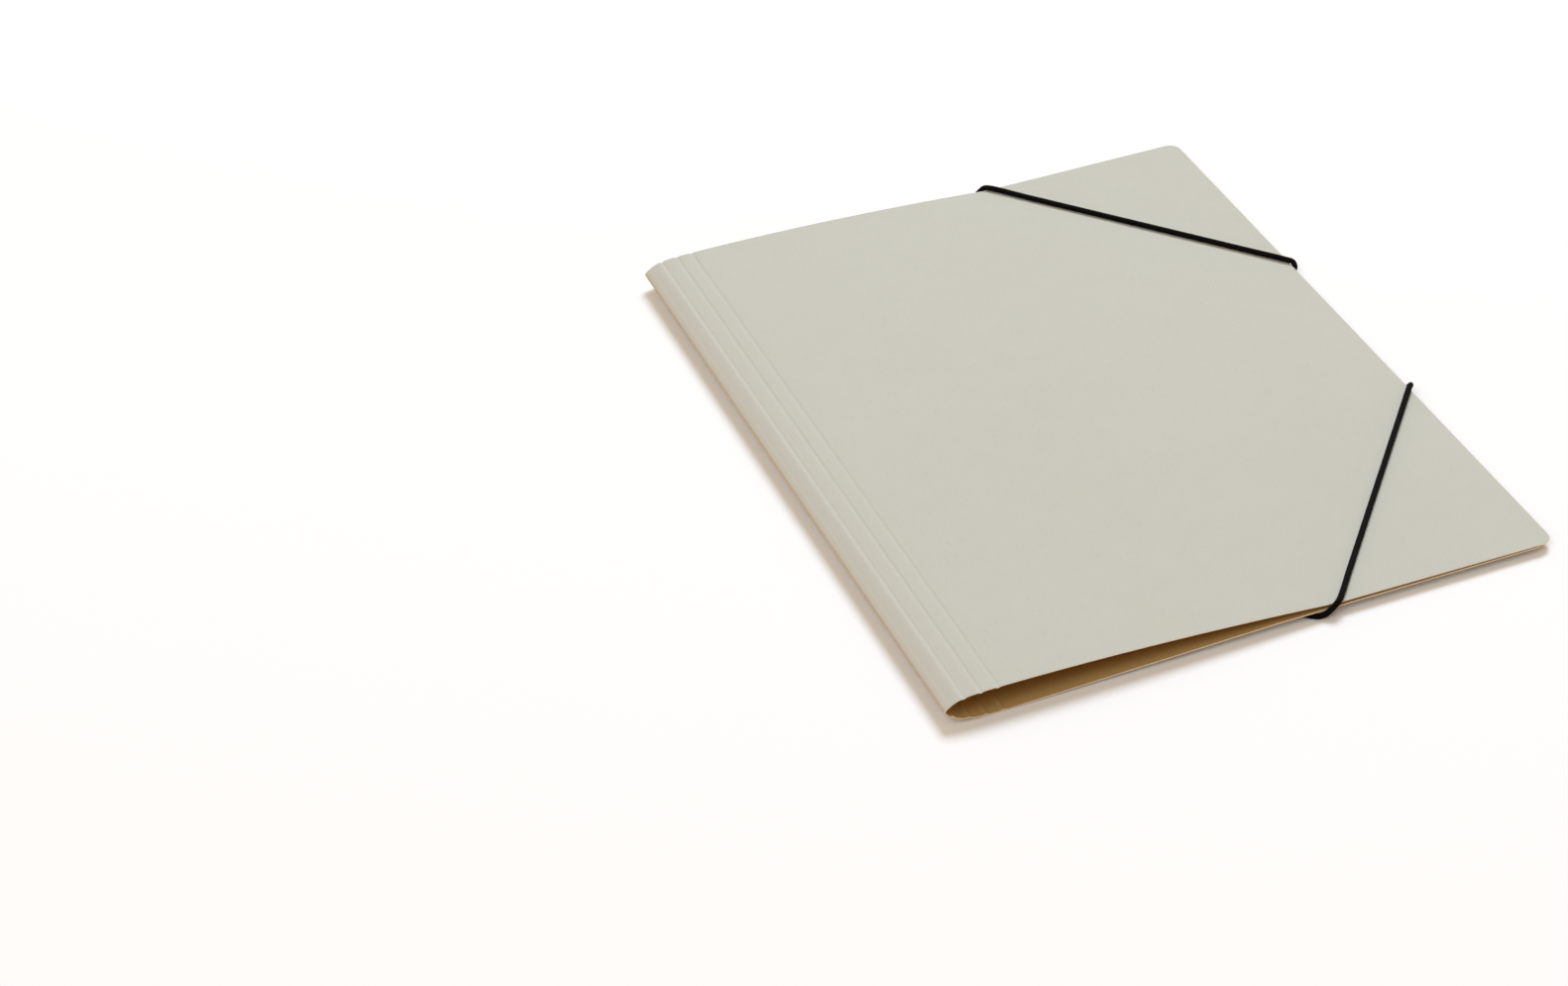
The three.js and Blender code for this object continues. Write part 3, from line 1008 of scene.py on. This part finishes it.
@dataclass
class ElasticCord:
    """The round braided elastic: hole to hole in the back cover, over both fore corners."""

    form: FolderForm
    place: Placing
    touch: float = 0.05
    strands: int = 8
    lay_length: float = 7.5
    relief: float = 0.16
    mean_height: float = 0.6
    weave_height: float = 0.4
    ring_step: float = 0.3
    sides: int = 40
    smooth_steps: int = 16

    def half_route(self, end: End) -> list[Vector]:
        """Half of the elastic's route, from its hole at one end to the middle of the fore edge.

        Args:
            end: The end that the half belongs to.

        Returns:
            Points in the part's own millimetres.
        """
        form = self.form
        under = form.cord_diameter / 2
        reach = under + self.touch
        lean = reach / math.sqrt(2)
        back_under = form.back_height - form.card / 2
        crossing_top = form.corner_height(form.crossing_x) + form.card / 2
        fore_top = form.closed_height + form.card / 2
        span, run = form.crossing_to_fore_edge, form.wrap_to_end(end.value)

        def on_front(share: float) -> tuple[float, float, float]:
            """A point of the stretch over the front cover's corner."""
            x = form.crossing_x + span * share
            return x, run * share, form.corner_height(x) + form.card / 2 + reach

        hole_x, hole_y, crossing_x = form.hole_x, form.hole_to_end, form.crossing_x
        fore, stretch = form.fore_edge, form.stretch_x
        places = [
            (hole_x, hole_y, form.back_height + form.card / 2),
            (hole_x, hole_y, back_under + 0.1),
            (hole_x + 0.6, hole_y - 0.3, under + 0.4),
            (hole_x + 2.6, hole_y - 1.3, under),
            (hole_x + 11, hole_y - 5.5, under),
            (crossing_x - 8.6, 0.1, under),
            (crossing_x - 6.4, -lean, back_under - lean),
            (crossing_x - 5, -reach, back_under + 0.1),
            (crossing_x - 2.6, -reach, crossing_top - 0.1),
            (crossing_x - 1.2, -lean, crossing_top + lean),
            *map(on_front, (0.004, 0.14, 0.48, 0.86, 0.985)),
            (fore + lean, run + 0.9, fore_top + lean),
            (fore + reach, run + 1.9, fore_top - 0.1),
            (fore + reach - 0.2, run + 2.7, back_under + 0.3),
            (fore - 0.6, run + 4, under + 0.35),
            (stretch + 4, run + 7, under),
            (stretch + 0.8, run + 18, under),
            (stretch, form.cover_length / 2, under),
        ]
        return [Vector((x, end.value * (form.cover_length / 2 - from_end), z))
                for x, from_end, z in places]

    def route(self) -> list[Vector]:
        """The whole route as a smooth run of points, on a centripetal Catmull-Rom curve.

        Returns:
            Points in the frame, in metres.
        """
        points = [*self.half_route(End.BOTTOM), *reversed(self.half_route(End.TOP)[:-1])]
        points = [2 * points[0] - points[1], *points, 2 * points[-1] - points[-2]]
        smooth: list[Vector] = []
        for p0, p1, p2, p3 in zip(points, points[1:], points[2:], points[3:]):
            knots = [0.0]
            for first, second in ((p0, p1), (p1, p2), (p2, p3)):
                knots.append(knots[-1] + max((second - first).length, SLACK) ** 0.5)
            t0, t1, t2, t3 = knots
            rounds = (((t0, t1), (t1, t2), (t2, t3)), ((t0, t2), (t1, t3)), ((t1, t2),))
            for t in evenly(t1, t2, self.smooth_steps)[:-1]:
                row = [p0, p1, p2, p3]
                for spans in rounds:
                    row = [here.lerp(after, (t - low) / (high - low))
                           for here, after, (low, high) in zip(row, row[1:], spans)]
                smooth.append(row[0])
        smooth.append(points[-2])
        return [self.place(*point) for point in smooth]

    def braid_tree(self) -> NodeTree:
        """The tree that sweeps a round section along the route and raises crossing strands on it.

        Returns:
            The Geometry Nodes tree.
        """
        bench = new_tree("round_braid", "GeometryNodeTree", {
            "Geometry": "Geometry", "Diameter": "Float", "Strands": "Int", "Lay Length": "Float",
            "Relief": "Float", "Ring Step": "Float", "Sides": "Int", "Finish": "Material",
        }, {"Geometry": "Geometry"})
        bench.tree.is_modifier = True
        given = bench.add("NodeGroupInput").outputs

        def store(shape: Socket, name: str, value: Socket) -> Socket:
            """The shape with a number stored on its points."""
            return bench.add("GeometryNodeStoreNamedAttribute",
                             {"Geometry": shape, "Name": name, "Value": value},
                             data_type="FLOAT", domain="POINT").outputs[0]

        def read(name: str) -> Socket:
            """A stored number."""
            return bench.add("GeometryNodeInputNamedAttribute", {"Name": name},
                             data_type="FLOAT").outputs[0]

        def strand(own: Socket, other: Socket, sign: int) -> Socket:
            """Height of one family of strands, which pass over and under the other.

            Args:
                own: Place across the family, one unit for each strand.
                other: Place across the other family.
                sign: 1 or -1, so that one family is up where the other is down.

            Returns:
                The height as a share of the relief.
            """
            number = bench.math("ROUND", own)
            off = bench.times(bench.math("SUBTRACT", own, number), 2.0)
            dome = bench.math("SUBTRACT", 1.0, bench.times(off, off))
            phase = bench.times(bench.math("ADD", number, other), math.pi)
            weave = bench.math("MULTIPLY_ADD", bench.math("COSINE", phase),
                               self.weave_height * sign, self.mean_height)
            return bench.times(dome, weave)

        line = bench.add("GeometryNodeMeshToCurve", {0: given["Geometry"]}).outputs[0]
        run = bench.add("GeometryNodeResampleCurve", {"Curve": line, "Length": given["Ring Step"]},
                        mode="LENGTH").outputs[0]
        parameter = bench.add("GeometryNodeSplineParameter").outputs
        run = store(run, "along", parameter["Length"])
        radius = bench.math("SUBTRACT", bench.times(given["Diameter"], 0.5), given["Relief"])
        ring = {"Resolution": given["Sides"], "Radius": radius}
        section = bench.add("GeometryNodeCurvePrimitiveCircle", ring, mode="RADIUS").outputs[0]
        swept = {"Curve": run, "Profile Curve": store(section, "around", parameter["Factor"]),
                 "Fill Caps": True}
        tube = bench.add("GeometryNodeCurveToMesh", swept).outputs[0]
        turns = bench.times(read("around"), given["Strands"])
        lays = bench.math("DIVIDE", read("along"), given["Lay Length"])
        advance = bench.times(lays, given["Strands"])
        right, left = bench.math("ADD", turns, advance), bench.math("SUBTRACT", turns, advance)
        first, second = strand(right, left, 1), strand(left, right, -1)
        across = bench.math("MULTIPLY_ADD", bench.math("GREATER_THAN", first, second),
                            bench.math("SUBTRACT", right, left), left)
        tube = store(tube, "braid_relief", bench.math("MAXIMUM", first, second))
        tube = store(tube, "yarn_across", across)
        normal = bench.add("GeometryNodeInputNormal").outputs[0]
        height = bench.times(read("braid_relief"), given["Relief"])
        lift = bench.add("ShaderNodeVectorMath", {0: normal, "Scale": height}, operation="SCALE")
        shape = tube
        for kind, inputs in (("GeometryNodeSetPosition", {"Offset": lift.outputs[0]}),
                             ("GeometryNodeSetShadeSmooth", {"Shade Smooth": True}),
                             ("GeometryNodeRealizeInstances", {}),
                             ("GeometryNodeSetMaterial", {"Material": given["Finish"]})):
            shape = bench.add(kind, {"Geometry": shape, **inputs}).outputs[0]
        bench.add("NodeGroupOutput", {0: shape})
        return bench.tree

    def build(self, finish: ElasticFinish, groups: SharedGroups) -> Object:
        """Builds and dresses the elastic.

        Args:
            finish: The yarn's finish.
            groups: The shared shader groups.

        Returns:
            The elastic's object.
        """
        route = self.route()
        steps = [(i, i + 1) for i in range(len(route) - 1)]
        mesh = bpy.data.meshes.new("braided_elastic")
        mesh.from_pydata([tuple(point) for point in route], steps, [])
        carrier = plain_object("braided_elastic", mesh)
        braid = carrier.modifiers.new("braid", "NODES")
        braid.node_group = self.braid_tree()
        values = {"Diameter": self.form.cord_diameter * MM, "Strands": self.strands,
                  "Lay Length": self.lay_length * MM, "Relief": self.relief * MM,
                  "Ring Step": self.ring_step * MM, "Sides": self.sides,
                  "Finish": finish.material(groups)}
        for item in braid.node_group.interface.items_tree:
            if item.in_out == "INPUT" and item.name in values:
                braid[item.identifier] = values[item.name]
        bake_modifiers(carrier)
        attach(carrier, "root")
        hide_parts("elastic_cord")
        return carrier


@dataclass
class EndBar:
    """A round-ended bar on the inside of the back cover, crimped round the elastic's end."""

    form: FolderForm
    place: Placing
    end: End
    diameter: float = 2.5
    length: float = 13.5
    neck_share: float = 1 / 3
    angle: float = 43.0
    sides: int = 32
    cap_steps: int = 8
    body_steps: int = 72
    groove_depth: float = 0.09
    groove_pitch: float = 1.3

    def section_radius(self, along: float) -> float:
        """Radius at a place along the bar: round ends, and fine moulded grooves in between.

        Args:
            along: Distance from the bar's start.

        Returns:
            The radius in millimetres.
        """
        radius = self.diameter / 2
        from_end = min(along, self.length - along)
        if from_end < radius:
            return math.sqrt(max(0.0, radius ** 2 - (radius - from_end) ** 2))
        ease = clamp((from_end - radius) / radius, 0, 1)
        wave = 0.5 - 0.5 * math.cos(2 * math.pi * along / self.groove_pitch)
        return radius - self.groove_depth * ease * wave

    def build(self, finish: Material) -> Object:
        """Builds and dresses the bar.

        Args:
            finish: The bars' material.

        Returns:
            The bar's object.
        """
        form = self.form
        radius = self.diameter / 2
        cap = [radius * (1 - math.cos(a)) for a in evenly(0.0, math.pi / 2, self.cap_steps)]
        body = evenly(radius, self.length - radius, self.body_steps)[1:-1]
        runs = [*cap, *body, *(self.length - a for a in reversed(cap))]
        around = evenly(0.0, 2 * math.pi, self.sides)[:-1]
        work = bmesh.new()
        low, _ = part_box(f"end_bar_{self.end.name.lower()}")
        spot = self.place(form.hole_x, form.hole_y(self.end), 0)
        turn = Matrix.Rotation(math.radians(-self.end.value * self.angle), 3, "Z")

        def put(x: float, y: float, z: float) -> Vertex:
            """A vertex of the bar, turned and set over its hole."""
            turned = turn @ Vector((x, y, 0))
            return work.verts.new((spot.x + turned.x * MM, spot.y + turned.y * MM,
                                   low[2] + z * MM))

        start = -self.length * self.neck_share
        rings = []
        for along in runs[1:-1]:
            size = self.section_radius(along)
            rings.append([put(start + along, size * math.cos(a), radius + size * math.sin(a))
                          for a in around])
        following = [*range(1, self.sides), 0]
        for first, second in zip(rings, rings[1:]):
            for k, after in enumerate(following):
                work.faces.new((first[k], first[after], second[after], second[k]))
        for ring, x in ((rings[0], start), (rings[-1], start + self.length)):
            pole = put(x, 0, radius)
            for k, after in enumerate(following):
                work.faces.new((ring[k], ring[after], pole))
        bmesh.ops.recalc_face_normals(work, faces=work.faces)
        for face in work.faces:
            face.smooth = True
        name = f"grooved_bar_{self.end.name.lower()}"
        mesh = close_mesh(name, work)
        mesh.materials.append(finish)
        bar = plain_object(name, mesh)
        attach(bar, "root")
        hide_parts(f"end_bar_{self.end.name.lower()}")
        return bar


@dataclass(frozen=True)
class Camera:
    """The camera at the photograph's viewing angle, on a line from a point of the table."""

    azimuth: float = -17.408
    elevation: float = 34.667
    roll: float = -5.29
    distance: float = 1.50413
    target: tuple[float, float, float] = (-0.119868, -0.00181, 0.000042)
    lens: float = 92.147
    sensor: float = 36.0
    nearest: float = 0.01
    furthest: float = 50.0

    def build(self) -> None:
        """Creates the camera and makes it the scene's own."""
        azimuth, elevation, roll = map(math.radians, (self.azimuth, self.elevation, self.roll))
        back = Vector((math.sin(azimuth) * math.cos(elevation),
                       -math.cos(azimuth) * math.cos(elevation), math.sin(elevation)))
        right = Vector((math.cos(azimuth), math.sin(azimuth), 0.0))
        up = back.cross(right)
        turned_right = right * math.cos(roll) + up * math.sin(roll)
        turned_up = up * math.cos(roll) - right * math.sin(roll)
        data = bpy.data.cameras.new("camera")
        data.sensor_fit = "HORIZONTAL"
        data.sensor_width = self.sensor
        data.lens = self.lens
        data.clip_start = self.nearest
        data.clip_end = self.furthest
        camera = plain_object("camera", data)
        turn = Matrix((turned_right, turned_up, back)).transposed().to_4x4()
        spot = Vector(self.target) + back * self.distance
        camera.matrix_world = Matrix.Translation(spot) @ turn
        bpy.context.scene.camera = camera


@dataclass(frozen=True)
class SoftLamp:
    """A large soft round lamp that faces the folder."""

    name: str
    position: tuple[float, float, float]
    size: float
    power: float
    colour: tuple[float, float, float] = (0.728, 0.852, 1.0)

    def build(self) -> None:
        """Creates the lamp."""
        data = bpy.data.lights.new(self.name, "AREA")
        data.shape = "DISK"
        data.size = self.size
        data.energy = self.power
        data.color = self.colour
        lamp = plain_object(self.name, data)
        lamp.location = self.position
        lamp.rotation_euler = (-Vector(self.position)).to_track_quat("-Z", "Y").to_euler()


@dataclass
class Studio:
    """Plain pale floor, white background and soft light from behind the fore edge."""

    floor_size: float = 12.0
    floor_colour: Rgb = (250, 250, 250)
    bounce_colour: Rgb = (224, 198, 156)
    floor_glow: float = 0.085
    shade_colour: tuple[float, float, float] = (1.0, 0.72, 0.4)
    shade_strength: float = 0.42
    lamps: tuple[SoftLamp, ...] = (
        SoftLamp("key_lamp", (2.2, 2.8, 4.8), 3.0, 280.0),
        SoftLamp("fill_lamp", (-3.1, -2.6, 4.5), 3.4, 90.0),
    )

    def floor(self) -> None:
        """Creates the floor, which shows white to the camera outside the folder's shadow."""
        half = self.floor_size / 2
        corners = [(-half, -half, 0), (half, -half, 0), (half, half, 0), (-half, half, 0)]
        mesh = bpy.data.meshes.new("floor")
        mesh.from_pydata(corners, [], [(0, 1, 2, 3)])
        material, bench, surface = new_material(
            "floor_paint", {"Roughness": 0.9, "Specular IOR Level": 0.1})
        camera, seen = bench.seen()
        paint = bench.mix(camera, srgb(self.bounce_colour), srgb(self.floor_colour))
        bench.join(paint, surface.inputs["Base Color"])
        glow = bench.add("ShaderNodeEmission", {"Strength": bench.times(seen, self.floor_glow)})
        both = bench.add("ShaderNodeAddShader", {0: surface.outputs[0], 1: glow.outputs[0]})
        out = next(node for node in bench.tree.nodes if node.type == "OUTPUT_MATERIAL")
        bench.join(both.outputs[0], out.inputs["Surface"])
        mesh.materials.append(material)
        floor = plain_object("floor", mesh)

    def world(self) -> None:
        """White behind the folder for the camera, and a warm dim light from all sides otherwise."""
        world = bpy.data.worlds.new("studio")
        world.use_nodes = True
        world.node_tree.nodes.clear()
        bench = NodeBench(world.node_tree)
        _, seen = bench.seen()
        ambient, white = (
            bench.add("ShaderNodeBackground", {"Color": (*colour, 1.0), "Strength": strength})
            for colour, strength in ((self.shade_colour, self.shade_strength),
                                     ((1.0, 1.0, 1.0), 1.0)))
        mixed = bench.add("ShaderNodeMixShader",
                          {0: seen, 1: ambient.outputs[0], 2: white.outputs[0]})
        bench.add("ShaderNodeOutputWorld", {"Surface": mixed.outputs[0]})
        bpy.context.scene.world = world

    def build(self) -> None:
        """Creates the floor, the world and the lamps."""
        self.floor()
        self.world()
        for lamp in self.lamps:
            lamp.build()
        bpy.context.scene.view_settings.view_transform = "Standard"


def report(made: Object) -> None:
    """Logs a piece's name, its triangles and its box in millimetres.

    Args:
        made: The piece.
    """
    triangles = sum(len(polygon.vertices) - 2 for polygon in made.data.polygons)
    sizes = " x ".join(f"{value / MM:.1f}" for value in made.dimensions)
    LOG.info("%s: %d triangles, %s mm", made.name, triangles, sizes)


def main() -> None:
    """Builds the camera, the pieces and the studio."""
    logging.basicConfig(level=logging.INFO, format="%(name)s %(message)s")
    form = FolderForm()
    place = Placing.onto_frame(form)
    groups = SharedGroups()
    Camera().build()
    report(FolderCard(form, place).build(CardFinish(), CutEdgeFinish(), groups))
    report(ElasticCord(form, place).build(ElasticFinish(), groups))
    bar_finish = BarFinish().material(groups)
    for end in End:
        report(EndBar(form, place, end).build(bar_finish))
    Studio().build()


if __name__ == "__main__":
    main()
